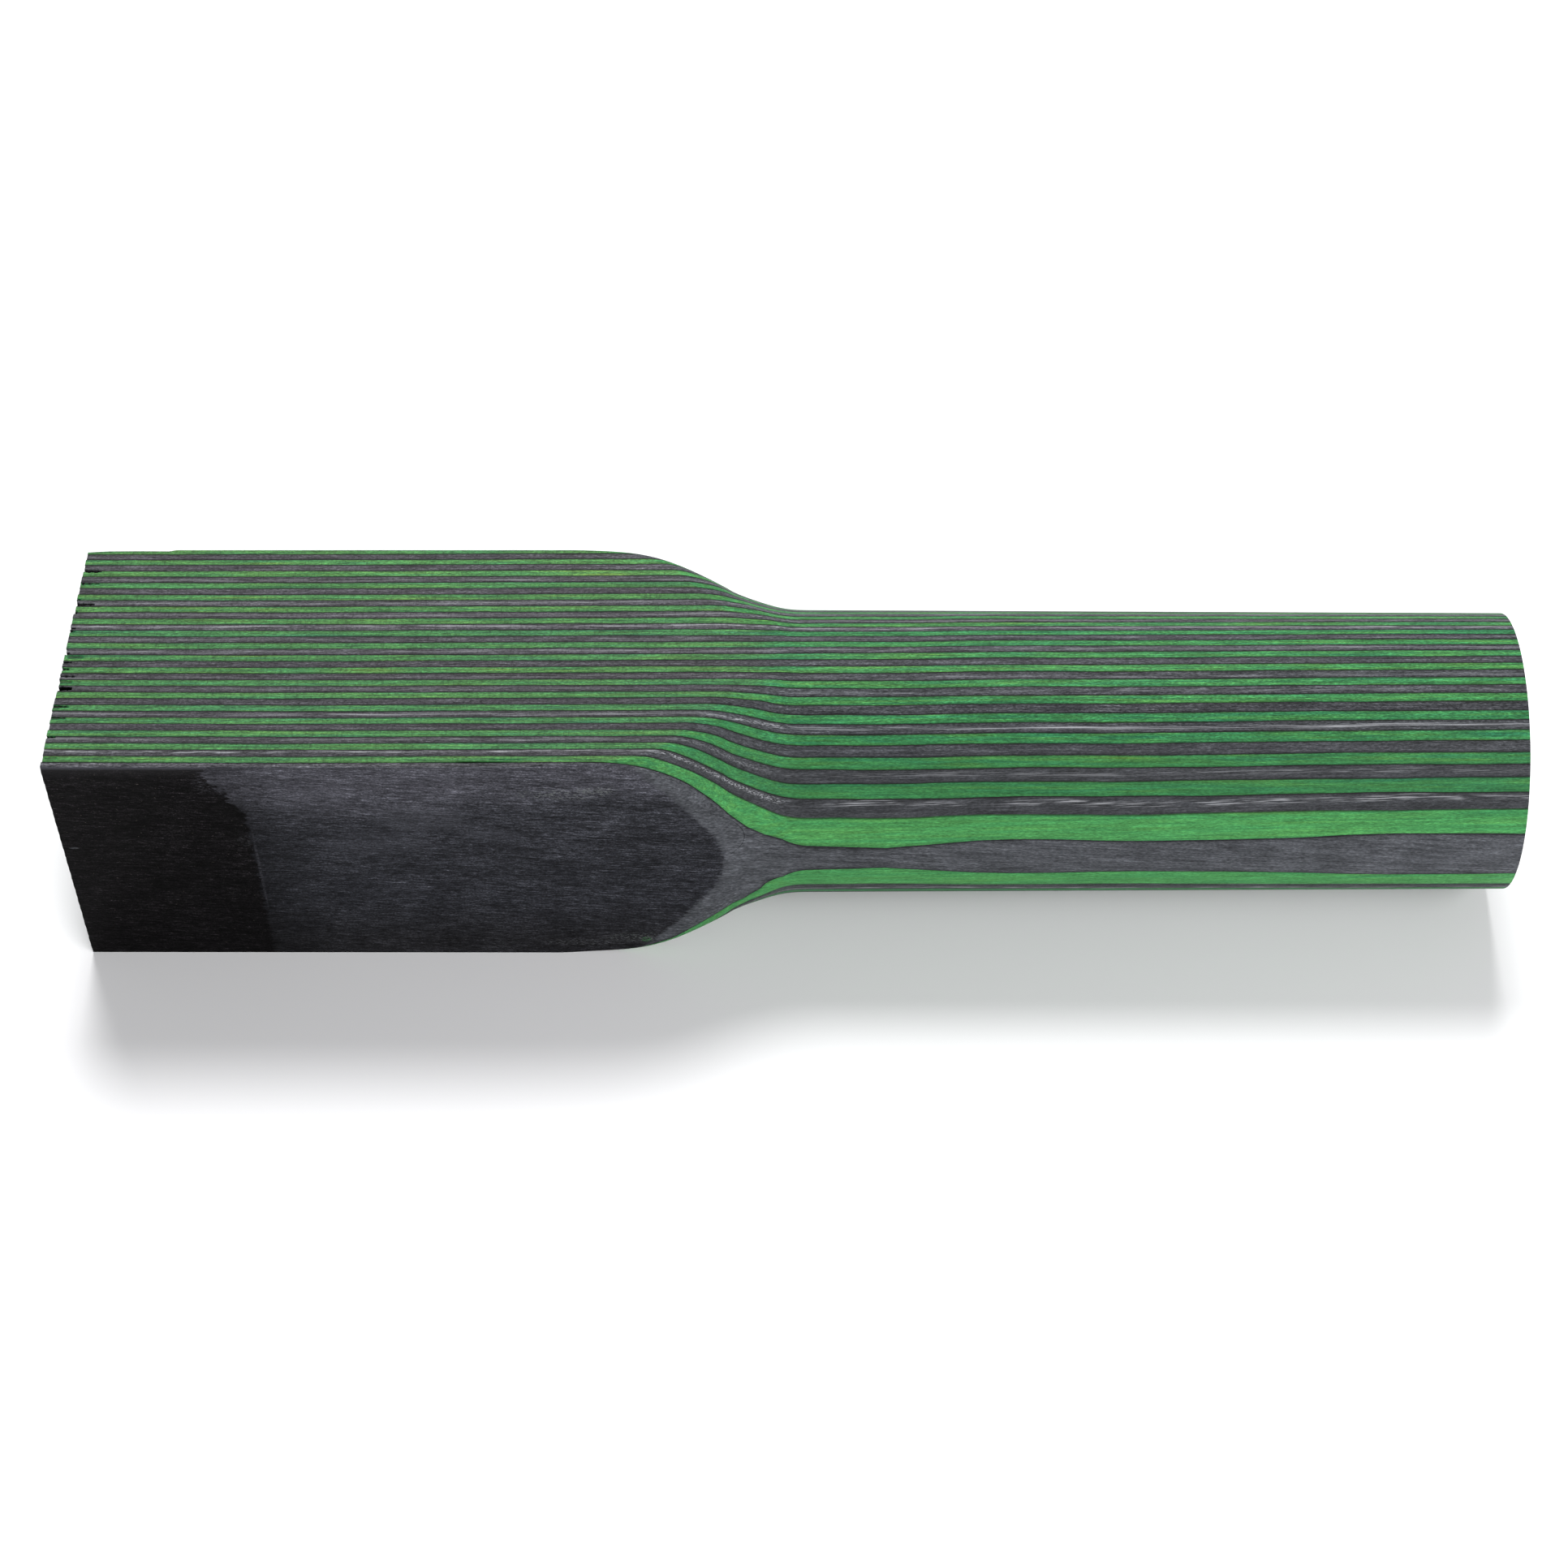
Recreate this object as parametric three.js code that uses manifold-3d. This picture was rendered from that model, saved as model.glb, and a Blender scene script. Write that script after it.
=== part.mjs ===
// Dyed plywood turning blank: a square block glued up from thin hardwood veneers, dyed green and
// charcoal in turn, with one half already turned to a round bar.
// Millimetres, +Z up. The blank lies along X, square end towards -X. The veneers are stacked
// along Y, so their edges show on the top and the bottom and as bands round the bar.
// The origin is the middle of the base of its bounding box.
import * as THREE from 'three';
import { mergeVertices } from 'three/addons/utils/BufferGeometryUtils.js';
import Module from 'manifold-3d';

// Driving dimensions of the block
const LENGTH = 254;
const STACK = 52;
const HEIGHT = 50.8;

// The veneers, from the front one (1) to the back one. The outer two were thinned by sawing.
const VENEER_COUNT = 36;
const FRONT_VENEER = 1.1;
const BACK_VENEER = 0.85;
// The glue lines run slightly askew to the sawn faces: drift in Y for each mm along X and up Z
const GLUE_RUNOUT = 0.0049;
const GLUE_LEAN = 0.0127;

// The lathe axis at mid length, and how far it leaves the X direction for each mm along X
const AXIS_Y = 0.3;
const AXIS_Z = 25.36;
const AXIS_DRIFT_Y = -0.0041;
const AXIS_DRIFT_Z = 0.0058;

// The turned outline: X along the axis, then the radius there
const CREST_START = [-44, 36.7];
const CREST_END = [-11.7, 29.1];
const FOOT_END = [-1.7, 25.54];
const BAR_START = [0.6, 25.35];
const BAR_END_RADIUS = 24.7;
const CREST_HANDLES = [[-28.6, 35.2], [-27, 37.3]];
const FOOT_HANDLES = [[-11.1, 28.4], [-4.6, 26.1]];

// The round end was sawn out of square: its top stands back by this much for each mm up
const END_SLANT = 0.018;

// Fineness of the turned faces
const TURN_FACETS = 96;
const CREST_STEPS = 7;
const FOOT_STEPS = 4;

// How far a cutting body reaches past the block
const PAST = 6;

const GREEN = { name: 'green', color: '#4c9a58', roughness: 0.62 };
const CHARCOAL = { name: 'charcoal', color: '#56555b', roughness: 0.58 };

const wasm = await Module();
wasm.setup();

// A solid from a closed three.js geometry: shared corners are merged, empty triangles dropped
function solidFrom(geometry) {
  geometry.deleteAttribute('normal');
  geometry.deleteAttribute('uv');
  const merged = mergeVertices(geometry, 1e-4);
  const corners = merged.index.array;
  const triangles = [];
  for (let i = 0; i < corners.length; i += 3) {
    const [a, b, c] = [corners[i], corners[i + 1], corners[i + 2]];
    if (a !== b && b !== c && c !== a) triangles.push(a, b, c);
  }
  return new wasm.Manifold(new wasm.Mesh({
    numProp: 3,
    vertProperties: new Float32Array(merged.attributes.position.array),
    triVerts: new Uint32Array(triangles),
  }));
}

function geometryFrom(solid) {
  const mesh = solid.getMesh();
  const geometry = new THREE.BufferGeometry();
  geometry.setAttribute('position', new THREE.BufferAttribute(mesh.vertProperties, 3));
  geometry.setIndex(new THREE.BufferAttribute(mesh.triVerts, 1));
  geometry.computeVertexNormals();
  return geometry;
}

// Moves each corner of a geometry to where place(corner) puts it
function reshape(geometry, place) {
  const position = geometry.attributes.position;
  const corner = new THREE.Vector3();
  for (let i = 0; i < position.count; i += 1) {
    place(corner.fromBufferAttribute(position, i));
    position.setXYZ(i, corner.x, corner.y, corner.z);
  }
  return geometry;
}

// The sawn block, with its round end's face leaning back from its lowest point
function sawnBlock() {
  const lowest = AXIS_Z + AXIS_DRIFT_Z * (LENGTH / 2) - BAR_END_RADIUS;
  const box = new THREE.BoxGeometry(LENGTH, STACK, HEIGHT).translate(0, 0, HEIGHT / 2);
  return solidFrom(reshape(box, (corner) => {
    if (corner.x > 0) corner.x -= END_SLANT * (corner.z - lowest);
  }));
}

// The space that the lathe tool left: wide over the square half, then shoulder and bar
function turnedEnvelope() {
  const point = ([along, radius]) => new THREE.Vector2(radius, along);
  const past = LENGTH / 2 + PAST;
  const crest = new THREE.CubicBezierCurve(
    point(CREST_START), ...CREST_HANDLES.map(point), point(CREST_END));
  const foot = new THREE.CubicBezierCurve(
    point(CREST_END), ...FOOT_HANDLES.map(point), point(FOOT_END));
  const clear = CREST_START[1] + PAST;
  const outline = [
    new THREE.Vector2(0, -past),
    new THREE.Vector2(clear, -past),
    new THREE.Vector2(clear, CREST_START[0]),
    ...crest.getPoints(CREST_STEPS),
    ...foot.getPoints(FOOT_STEPS).slice(1),
    point(BAR_START),
    point([LENGTH / 2, BAR_END_RADIUS]),
    point([past, BAR_END_RADIUS]),
    new THREE.Vector2(0, past),
  ];
  const lathe = new THREE.LatheGeometry(outline, TURN_FACETS);
  lathe.rotateZ(-Math.PI / 2);
  lathe.rotateZ(Math.atan(AXIS_DRIFT_Y));
  lathe.rotateY(-Math.atan(AXIS_DRIFT_Z));
  lathe.translate(0, AXIS_Y, AXIS_Z);
  return solidFrom(lathe);
}

// Where glue line number k crosses Y at the middle of the block; 0 and the last lie outside it
function glueLine(k) {
  if (k === 0) return -STACK / 2 - PAST;
  if (k === VENEER_COUNT) return STACK / 2 + PAST;
  const inner = (STACK - FRONT_VENEER - BACK_VENEER) / (VENEER_COUNT - 2);
  return -STACK / 2 + FRONT_VENEER + (k - 1) * inner;
}

// The sheet between two neighbouring glue lines, reaching past the block on its other sides
function veneerSheet(number) {
  const sheet = new THREE.BoxGeometry(LENGTH + 2 * PAST, 2, HEIGHT + 2 * PAST);
  return solidFrom(reshape(sheet, (corner) => {
    const line = glueLine(corner.y < 0 ? number - 1 : number);
    corner.y = line + GLUE_RUNOUT * corner.x + GLUE_LEAN * corner.z;
    corner.z += HEIGHT / 2;
  }));
}

function veneer(number, blank) {
  const dye = number % 2 ? CHARCOAL : GREEN;
  const material = new THREE.MeshStandardMaterial({
    color: dye.color, roughness: dye.roughness, metalness: 0,
  });
  const sheet = new THREE.Mesh(geometryFrom(blank.intersect(veneerSheet(number))), material);
  sheet.name = `veneer_${String(number).padStart(2, '0')}_${dye.name}`;
  return sheet;
}

const blank = sawnBlock().intersect(turnedEnvelope());
const turningBlank = new THREE.Group();
turningBlank.name = 'dyed_plywood_turning_blank';
for (let number = 1; number <= VENEER_COUNT; number += 1) {
  turningBlank.add(veneer(number, blank));
}

export default turningBlank;
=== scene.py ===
import math

import bmesh
import bpy
import numpy as np
from mathutils import Matrix, Vector


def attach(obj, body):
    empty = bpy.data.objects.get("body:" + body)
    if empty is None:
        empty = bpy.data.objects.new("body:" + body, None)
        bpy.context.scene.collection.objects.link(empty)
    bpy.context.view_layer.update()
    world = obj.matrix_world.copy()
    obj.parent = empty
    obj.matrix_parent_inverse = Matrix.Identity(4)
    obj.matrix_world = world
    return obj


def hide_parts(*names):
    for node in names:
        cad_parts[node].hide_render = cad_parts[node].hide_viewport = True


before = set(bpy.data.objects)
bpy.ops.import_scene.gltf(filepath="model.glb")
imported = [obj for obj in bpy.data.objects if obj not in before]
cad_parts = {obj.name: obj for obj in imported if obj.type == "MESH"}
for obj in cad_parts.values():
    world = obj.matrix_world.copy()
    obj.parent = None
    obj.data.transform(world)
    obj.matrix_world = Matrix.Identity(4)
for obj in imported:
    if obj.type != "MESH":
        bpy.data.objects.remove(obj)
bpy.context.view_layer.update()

# Looks of a dyed plywood turning blank: 36 glued veneers, one half turned to a round bar.
# Lengths are in millimetres until a mesh is made; lamps, floor and bump are in metres.
# +X runs from the sawn end to the round end, +Y from the front veneer to the back one, +Z up.

MM = 0.001
RANDOM = np.random.default_rng(36)

# The blank's own dimensions, as in the CAD model

LENGTH = 254
STACK = 52
HEIGHT = 50.8
VENEER_COUNT = 36
FRONT_VENEER = 1.1
BACK_VENEER = 0.85
GLUE_RUNOUT = 0.0049
GLUE_LEAN = 0.0127
AXIS_Y = 0.3
AXIS_Z = 25.36
AXIS_DRIFT_Y = -0.0041
AXIS_DRIFT_Z = 0.0058
CREST_START = (-44, 36.7)
CREST_END = (-11.7, 29.1)
FOOT_END = (-1.7, 25.54)
BAR_START = (0.6, 25.35)
BAR_END = (127, 24.7)
CREST_HANDLES = ((-28.6, 35.2), (-27, 37.3))
FOOT_HANDLES = ((-11.1, 28.4), (-4.6, 26.1))
END_SLANT = 0.018
VENEER = (STACK - FRONT_VENEER - BACK_VENEER) / (VENEER_COUNT - 2)
SAWN_END, ROUND_END = -LENGTH / 2, LENGTH / 2

# How much the corner between flat and turned faces is rubbed round, by X: at the front and back
# faces, and at the top and the underside
ROUNDING_X = (-127, -44, -30, -22, -20, -18, -16, -12, -8, -5, -2.5, 0, 127)
SIDE_ROUNDING = (0.12, 0.15, 0.3, 1.0, 1.6, 2.5, 3.4, 4.3, 4.2, 3.2, 1.8, 0.0, 0.0)
FACE_ROUNDING = (0.12, 0.15, 0.3, 1.0, 1.6, 2.4, 2.9, 2.9, 2.4, 1.5, 0.6, 0.0, 0.0)
# By a direction's share of Y, the second applies up to SIDEWAYS, and the first once it is
# SIDEWAYS_OVER more
SIDEWAYS, SIDEWAYS_OVER = 0.6, 0.2
# Breadth of the blend at the block's long edges
EDGE_BREAK = 0.2

# Points along the two curves of the turned profile
CREST_STEPS, FOOT_STEPS = 60, 40
# From this X on, growing over a few millimetres, the bends of the turned profile are eased by a
# bell-shaped average
EASED_FROM, EASED_OVER = -9, 5
EASE_WIDTH, EASE_REACH, EASE_STEP = 1.3, 4, 0.1
# How fast the turned radius widens over the square half, to stay clear of the block
CLEARANCE = 0.6

# Slow bends of the glue lines, by X: those of the whole stack, and those of the front line
SWAY_X = (-127, -122, -114, -106, -98, -90, -82, -60, -20, 6, 14, 22, 30, 38, 46, 54, 70, 86, 102,
          112, 127)
SWAY = (0.34, 0.3, 0.2, 0.13, 0.06, 0.0, -0.03, -0.03, 0.0, 0.0, -0.06, -0.06, 0.01, 0.05, 0.0,
        -0.05, -0.04, 0.02, 0.06, 0.04, 0.0)
FRONT_SWAY_X = (-20, 0, 8, 16, 24, 32, 38, 46, 54, 60, 75, 88, 96, 104, 112, 120, 127)
FRONT_SWAY = (0.0, 0.05, -0.02, -0.09, -0.025, 0.075, 0.1, 0.055, -0.035, -0.07, -0.09, -0.07,
              0.01, 0.037, 0.0, -0.036, -0.09)
# Before this X, the lines sway less towards the back: half as much in the last one
BACK_CALM_X, BACK_CALM = -82, 0.5


def grow(value, start, over):
    """0 up to start, then evenly up to 1 within the next over, which may be negative."""
    return np.clip((value - start) / over, 0, 1)


def soft_min(a, b, width):
    """The smaller of two values, blended where they come within width of each other."""
    width = np.maximum(width, 1e-6)
    near = np.maximum(width - np.abs(a - b), 0)
    return np.minimum(a, b) - near * near / (4 * width)


def axis_y(x):
    return AXIS_Y + AXIS_DRIFT_Y * x


def axis_z(x):
    return AXIS_Z + AXIS_DRIFT_Z * x


def bezier(start, handles, end, steps):
    t = np.linspace(0, 1, steps)[:, None]
    corners = [np.array(p, float) for p in (start, *handles, end)]
    weights = ((1 - t) ** 3, 3 * t * (1 - t) ** 2, 3 * t * t * (1 - t), t ** 3)
    return sum(w * p for w, p in zip(weights, corners))


PROFILE = np.concatenate([
    bezier(CREST_START, CREST_HANDLES, CREST_END, CREST_STEPS),
    bezier(CREST_END, FOOT_HANDLES, FOOT_END, FOOT_STEPS)[1:],
    np.array([BAR_START, BAR_END], float),
])


def eased_profile():
    """The turned profile, with its bends eased the way sanding leaves them."""
    along = np.arange(CREST_START[0], BAR_END[0] + EASE_STEP, EASE_STEP)
    radius = np.interp(along, PROFILE[:, 0], PROFILE[:, 1])
    reach = np.arange(-EASE_REACH, EASE_REACH + EASE_STEP / 2, EASE_STEP)
    weight = np.exp(-0.5 * (reach / EASE_WIDTH) ** 2)
    padded = np.pad(radius, len(reach) // 2, mode="edge")
    eased = np.convolve(padded, weight / weight.sum(), mode="valid")
    share = grow(along, EASED_FROM, EASED_OVER)
    return along, radius * (1 - share) + eased * share


EASED_X, EASED_RADIUS = eased_profile()


def turned_radius(x):
    square_half = np.maximum(0, CREST_START[0] - x)
    return np.interp(x, EASED_X, EASED_RADIUS) + CLEARANCE * square_half


def section(x, angle):
    """The outer surface at station x: (y, z) at an angle round the axis, 0 at the back, 90 up."""
    cos, sin = np.cos(angle), np.sin(angle)
    to_side = (STACK / 2 - np.sign(cos) * axis_y(x)) / np.maximum(np.abs(cos), 1e-9)
    up = np.where(sin > 0, HEIGHT - axis_z(x), axis_z(x))
    to_face = up / np.maximum(np.abs(sin), 1e-9)
    flat = soft_min(to_side, to_face, EDGE_BREAK)
    sideways = grow(np.abs(cos), SIDEWAYS, SIDEWAYS_OVER)
    width = (np.interp(x, ROUNDING_X, SIDE_ROUNDING) * sideways
             + np.interp(x, ROUNDING_X, FACE_ROUNDING) * (1 - sideways))
    reach = soft_min(turned_radius(x), flat, width)
    return axis_y(x) + reach * cos, axis_z(x) + reach * sin


# The glue lines

# How far they lie further back along the bar than on the block, by line number, and how much of
# that by X
BAR_SHIFT_LINE = (6, 12, 18, 24, 29, 34, 36)
BAR_SHIFT = (0.0, 0.12, 0.28, 0.5, 0.5, 0.05, 0.0)
BAR_SHIFT_X = (-6, 4, 22, 30)
BAR_SHIFT_SHARE = (0.0, 0.5, 0.6, 1.0)
# Each line but the front one has three small waves of its own
WAVE_HEIGHTS = (0.03, 0.018, 0.008)
WAVE_LENGTHS = (47, 21, 8.3)
WAVE_STARTS = RANDOM.uniform(0, 2 * math.pi, (VENEER_COUNT + 1, 3))
# The first lines bend back a little in their lower half, and the last ones sit forward
LOW_BEND, LOW_BEND_LINES, LOW_BEND_OVER = 0.11, 4, 8
FORWARD, FORWARD_AFTER = 0.25, 33
# The front line waves more along the lower side of the shoulder, below this Z
LOW_WAVE_X = (-33, -26, -20, -16, -12, -9, -6, -3, 1)
LOW_WAVE = (0.0, -0.7, -0.65, -0.1, 0.32, 0.62, 0.65, 0.3, 0.0)
LOW_WAVE_Z, LOW_WAVE_OVER = 20, 6


def glue_line(k):
    return -STACK / 2 + FRONT_VENEER + (k - 1) * VENEER


def sway(k, x):
    """How far glue line k bends back at station x."""
    shared = np.interp(x, SWAY_X, SWAY)
    if k == 1:
        near = grow(x, FRONT_SWAY_X[0], -FRONT_SWAY_X[0])
        before = shared * (1 - near) + FRONT_SWAY[1] * near
        return np.where(x > 0, np.interp(x, FRONT_SWAY_X, FRONT_SWAY), before)
    own = sum(height * np.sin(x * 2 * math.pi / length + start)
              for height, length, start in zip(WAVE_HEIGHTS, WAVE_LENGTHS, WAVE_STARTS[k]))
    back = (k - 1) / (VENEER_COUNT - 2)
    shift = np.interp(k, BAR_SHIFT_LINE, BAR_SHIFT) * np.interp(x, BAR_SHIFT_X, BAR_SHIFT_SHARE)
    calm = np.where(x < BACK_CALM_X, shared * (1 - BACK_CALM * back), shared)
    return calm + own + shift


def glue_surface(k, x, z):
    """The Y of glue line k at (x, z)."""
    low = grow(z, HEIGHT / 2, -LOW_BEND_OVER)
    bend = LOW_BEND * max(0, 1 - (k - 1) / LOW_BEND_LINES) * low
    forward = FORWARD * max(0, k - FORWARD_AFTER) / 2
    line = glue_line(k) + GLUE_RUNOUT * x + GLUE_LEAN * (z - HEIGHT / 2) + sway(k, x)
    if k == 1:
        line = line + np.interp(x, LOW_WAVE_X, LOW_WAVE) * grow(z, LOW_WAVE_Z, -LOW_WAVE_OVER)
    return line + bend - forward


# Stations along X, closest at the sawn end, by the split and over the shoulder
STATIONS = np.concatenate([
    SAWN_END + np.array([0, 0.1]),
    np.arange(SAWN_END + 0.25, SAWN_END + 4, 0.2),
    np.arange(SAWN_END + 4, -56.2, 1.2),
    np.arange(-56, -44, 0.4),
    np.arange(-44, 3, 0.5),
    np.arange(3, ROUND_END - 1.2, 1.2),
    ROUND_END - np.array([1.0, 0.5, 0.25, 0]),
])
# How finely the outline is searched for the glue lines, and the angle left of a veneer that
# counts as gone
SAMPLES = 1400
THINNED_OUT = 1e-4


def crossings():
    """The angles at which each glue line meets the outer surface, by station: above, below."""
    x = STATIONS[:, None]
    upper = np.linspace(0, math.pi, SAMPLES)[None, :]
    top_y, top_z = section(x, upper)
    under_y, under_z = section(x, upper + math.pi)
    top = np.zeros((VENEER_COUNT + 1, len(STATIONS)))
    under = np.full((VENEER_COUNT + 1, len(STATIONS)), 2 * math.pi)
    top[0] = under[0] = math.pi
    for k in range(1, VENEER_COUNT):
        over = np.maximum.accumulate(glue_surface(k, x, top_z) - top_y, axis=1)
        below = np.maximum.accumulate(under_y - glue_surface(k, x, under_z), axis=1)
        for i in range(len(STATIONS)):
            top[k, i] = np.interp(0, over[i], upper[0])
            under[k, i] = np.interp(0, below[i], upper[0] + math.pi)
    # The back veneer thins out along the bar
    gone = int(np.argmax(top[-2] < THINNED_OUT)) or len(STATIONS)
    top[-2, gone:], under[-2, gone:] = 0, 2 * math.pi
    return top, under


TOP, UNDER = crossings()


def crease_angle(side, up):
    """How far round from straight forward (side -1) or back (1) the flat face ends, by station."""
    x = STATIONS
    reach = STACK / 2 - side * axis_y(x)
    level = HEIGHT - axis_z(x) if up else axis_z(x)
    turned = np.arccos(np.clip(reach / turned_radius(x), -1, 1))
    return np.minimum(np.arctan2(level, reach), turned)


def spread(start, middle, end, before, after, crowd=1.0):
    """Angles from start to end by station, with a column kept on middle and more near it."""
    first = start + (middle - start) * np.linspace(0, 1, before)[:, None]
    second = middle + (end - middle) * (np.linspace(0, 1, after)[1:, None]) ** crowd
    return np.concatenate([first, second]).T


# Columns on each half of an inner veneer's rim, on an outer veneer's rim, and on half of the
# flat faces of veneer 1 and of the last one, where they crowd towards the crease
HALF_RIM, OUTER_RIM = 7, 11
FRONT_FACE, BACK_FACE = 41, 33
CROWD = 1.4


def ring(number):
    """The outer surface of a veneer: (x, y, z) over stations, from the back glue line over the
    top to the front one, and the same underneath."""
    x = STATIONS[:, None]
    # The angles of its back and front glue lines, over the top (a, b) and underneath (c, d)
    a, b = TOP[number], TOP[number - 1]
    c, d = UNDER[number], UNDER[number - 1]
    if number == 1:
        up = np.minimum(math.pi - crease_angle(-1, True), 0.5 * (a + b))
        down = np.maximum(math.pi + crease_angle(-1, False), 0.5 * (c + d))
        over = spread(a, up, b, OUTER_RIM, FRONT_FACE, CROWD)
        below = spread(c, down, d, OUTER_RIM, FRONT_FACE, CROWD)
    elif number == VENEER_COUNT:
        up = np.maximum(crease_angle(1, True), 0.5 * b)
        down = np.minimum(2 * math.pi - crease_angle(1, False), 0.5 * (c + d))
        over = spread(b, up, a, OUTER_RIM, BACK_FACE, CROWD)
        below = spread(d, down, c, OUTER_RIM, BACK_FACE, CROWD)
    else:
        over = spread(a, 0.5 * (a + b), b, HALF_RIM, HALF_RIM)
        below = spread(c, 0.5 * (c + d), d, HALF_RIM, HALF_RIM)
    made = []
    for angles in (over, below):
        y, z = section(x, angles)
        made.append(np.stack([np.broadcast_to(x, y.shape), y, z], -1))
    return made


# Small relief of the surface

# Splinters torn out, mostly at the sawn end: veneer, place across it, start and end along X from
# the sawn end, half width, depth, and how much of that width is left at the far end
TEAR_OUTS = (
    (33, 0.1, -0.2, 2.8, 0.24, 0.9, 0.5), (33, -0.1, 0.6, 3.2, 0.16, 0.8, 1.0),
    (31, 0.4, -0.2, 3.6, 0.42, 0.12, 0.2), (30, 0.85, 0.2, 3.6, 0.22, 0.3, 0.4),
    (28, 0.2, -0.2, 0.6, 0.2, 0.5, 0.5), (27, 0.36, -0.2, 3.2, 0.3, 1.1, 0.6),
    (26, 0.2, -0.2, 0.4, 0.2, 0.5, 0.5), (25, 0.9, -0.2, 0.5, 0.25, 0.6, 0.5),
    (23, 0.35, -0.2, 0.8, 0.26, 0.8, 0.4), (22, 0.85, -0.2, 0.8, 0.24, 0.5, 0.4),
    (19, 0.2, -0.2, 0.6, 0.3, 0.6, 0.4), (18, 0.62, 0.6, 3.4, 0.34, 0.15, 1.0),
    (17, 0.75, -0.2, 1.4, 0.16, 0.8, 0.6), (16, 0.65, -0.2, 1.3, 0.3, 0.3, 0.4),
    (15, 0.5, -0.2, 2.6, 0.08, 0.4, 1.0), (14, 0.6, -0.2, 2.4, 0.5, 0.13, 0.5),
    (13, 0.52, -0.2, 2.5, 0.46, 1.1, 0.6), (10, 0.65, -0.2, 2.7, 0.36, 0.26, 0.3),
    (8, 0.8, -0.2, 2.6, 0.28, 0.2, 0.5), (5, 0.85, -0.2, 1.5, 0.26, 0.5, 0.3),
    (2, 0.6, 0.3, 2.6, 0.26, 0.13, 0.9), (2, 0.4, 75.8, 81.5, 0.12, 0.16, 0.3),
)
# Breadth of the walls of these, and depth of the groove along a glue line
TEAR_WALL = 0.12
GROOVE = 0.05
# The least that a veneer's sawn end stands back, the most that is added to it, and the most
# that a rim lies low
END_BACK, MOST_END_STEP, MOST_SUNK = 0.05, 0.22, 0.04
END_STEP = RANDOM.uniform(0.0, 1.0, VENEER_COUNT + 1) ** 1.5 * MOST_END_STEP
END_STEP[1] = 0.0
SUNK = RANDOM.uniform(0.0, MOST_SUNK, VENEER_COUNT + 1)
RAGGED = RANDOM.uniform(0, 2 * math.pi, (len(TEAR_OUTS), 2))

# The open split between the front two veneers on the top, by X, and the broken rear top corner,
# which reaches down to CHIP_LOW and keeps a slight slope
SPLIT_X = (-58, -55.5, -50, -45)
SPLIT = (0.0, 0.2, 0.14, 0.0)
CHIP_X = (-127, -125, -123, -117, -111.6, -111.2)
CHIP = (0.72, 0.56, 0.42, 0.38, 0.42, 0.0)
CHIP_LOW, CHIP_OVER, CHIP_CUT = 48.9, 1.2, 0.93
# How far along X the rough sawn end and the slant of the round end reach
SAW_REACH, SLANT_REACH = 3, 12


def inward(points):
    """Unit vectors from the points straight towards the lathe axis."""
    y = points[..., 1] - axis_y(points[..., 0])
    z = points[..., 2] - axis_z(points[..., 0])
    length = np.hypot(y, z)
    return np.stack([np.zeros_like(y), -y / length, -z / length], -1)


def across(number, points):
    """How far through their veneer points lie, 0 at its front glue line and 1 at its back one."""
    x, y, z = (points[..., i] for i in range(3))
    if number == 1:
        front = glue_surface(1, x, z) - VENEER
    else:
        front = glue_surface(number - 1, x, z)
    if number == VENEER_COUNT:
        back = glue_surface(VENEER_COUNT - 1, x, z) + VENEER
    else:
        back = glue_surface(number, x, z)
    return (y - front) / (back - front)


def to_glue(number, points):
    """How far points lie from the nearest glue line of their veneer, through its thickness."""
    x, y, z = (points[..., i] for i in range(3))
    gap = np.full(x.shape, np.inf)
    if number > 1:
        gap = np.minimum(gap, y - glue_surface(number - 1, x, z))
    if number < VENEER_COUNT:
        gap = np.minimum(gap, glue_surface(number, x, z) - y)
    return gap


def tear(number, points):
    """How deep splinters are torn out of a veneer's upper surface at these points."""
    along = points[..., 0] - SAWN_END
    place = across(number, points) + number
    torn = np.zeros(along.shape)
    for (veneer, middle, start, end, half, deep, left), ragged in zip(TEAR_OUTS, RAGGED):
        share = grow(along, start, end - start)
        width = half * (1 + (left - 1) * share)
        lip = 0.05 * np.sin(along * 5.1 + ragged[0]) + 0.03 * np.sin(along * 11.3 + ragged[1])
        inside = width + lip - np.abs(place - middle - veneer) * VENEER
        inside = np.minimum(inside, np.minimum(end - along, along - start) * 0.5)
        torn = np.maximum(torn, np.clip(inside / TEAR_WALL + 0.5, 0, 1) * deep)
    return torn


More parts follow.
